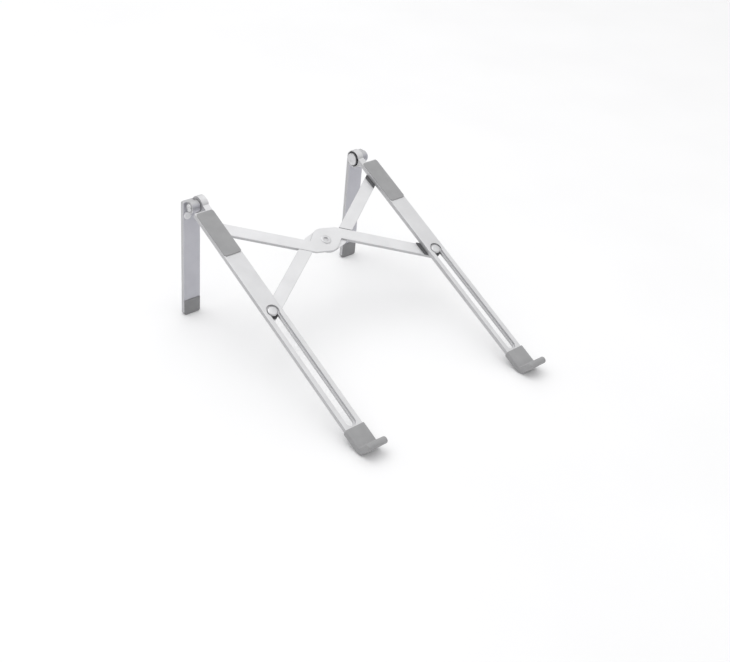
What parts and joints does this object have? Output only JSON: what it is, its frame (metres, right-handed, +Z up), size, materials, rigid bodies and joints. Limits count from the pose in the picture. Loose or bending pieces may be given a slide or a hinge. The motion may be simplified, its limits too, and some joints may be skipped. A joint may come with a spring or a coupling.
{
  "type": "folding laptop stand",
  "caption": "Folding laptop stand: two sloped hooked rails on hinged flat legs, joined by riveted scissor arms whose pins slide in the rails' slots.",
  "frame": {"origin": "centre of the stand's footprint on the surface it stands on, stand open", "axes": "+X to the user's right, +Y away from the user from the hooks to the legs, +Z up"},
  "size_m": [0.1994, 0.246, 0.1136],
  "materials": {
    "rail_aluminium": "fine bead-blasted, clear anodised, satin",
    "arm_aluminium": "fine bead-blasted, clear anodised, satin",
    "leg_aluminium": "fine bead-blasted, clear anodised, satin",
    "pad_silicone": "matte moulded silicone",
    "foot_silicone": "matte moulded silicone",
    "spacer_nylon": "matte",
    "stop_nylon": "satin",
    "rivet_steel": "satin nickel plated",
    "dark_steel": "black oxide"
  },
  "bodies": {
    "left_rail": {"rail_left": "rail_aluminium", "hook_sleeve_left": "pad_silicone", "rear_pad_left": "pad_silicone", "pivot_rivet_left": "rivet_steel", "hinge_pin_left": "rivet_steel", "hinge_friction_washer_left": "dark_steel", "hinge_disc_spring_left": "dark_steel", "hinge_nut_left": "dark_steel"},
    "left_leg": {"leg_left": "leg_aluminium", "foot_pad_left": "foot_silicone", "leg_stop_left": "stop_nylon"},
    "upper_arm": {"arm_upper": "arm_aluminium", "upper_arm_pivot_spacer": "spacer_nylon", "upper_arm_slider_spacer": "spacer_nylon", "upper_arm_slider_pin": "rivet_steel", "upper_arm_tail_washers": "rivet_steel", "hub_rivet": "rivet_steel"},
    "lower_arm": {"arm_lower": "arm_aluminium", "lower_arm_pivot_spacer": "spacer_nylon", "lower_arm_slider_spacer": "spacer_nylon", "lower_arm_slider_pin": "rivet_steel", "lower_arm_tail_washers": "rivet_steel", "hub_washer": "spacer_nylon"},
    "right_rail": {"rail_right": "rail_aluminium", "hook_sleeve_right": "pad_silicone", "rear_pad_right": "pad_silicone", "pivot_rivet_right": "rivet_steel", "hinge_pin_right": "rivet_steel", "hinge_friction_washer_right": "dark_steel", "hinge_disc_spring_right": "dark_steel", "hinge_nut_right": "dark_steel"},
    "right_leg": {"leg_right": "leg_aluminium", "foot_pad_right": "foot_silicone", "leg_stop_right": "stop_nylon"}
  },
  "joints": [
    {"name": "scissor_fold", "type": "hinge", "parent": "left_rail", "child": "upper_arm", "pos_m": [-0.09025, 0.09189, 0.10123], "axis": [0, 0.4305, -0.9026], "range_deg": [0, 56.72]},
    {"name": "hub_turn", "type": "hinge", "parent": "upper_arm", "child": "lower_arm", "pos_m": [0, 0.04977, 0.08114], "axis": [0, -0.4305, 0.9026], "range_deg": [0, 113.44]},
    {"name": "right_rail_turn", "type": "hinge", "parent": "lower_arm", "child": "right_rail", "pos_m": [0.09025, 0.09189, 0.10123], "axis": [0, 0.4305, -0.9026], "range_deg": [0, 56.72]},
    {"name": "left_leg_fold", "type": "hinge", "parent": "left_rail", "child": "left_leg", "pos_m": [-0.09025, 0.11442, 0.10578], "axis": [-1, 0, 0], "range_deg": [0, 64.5]},
    {"name": "right_leg_fold", "type": "hinge", "parent": "right_rail", "child": "right_leg", "pos_m": [0.09025, 0.11442, 0.10578], "axis": [-1, 0, 0], "range_deg": [0, 64.5]}
  ],
  "couplings": [
    {"joint": "hub_turn", "follows": "scissor_fold", "ratio": 2},
    {"joint": "right_rail_turn", "follows": "scissor_fold", "ratio": 1}
  ]
}
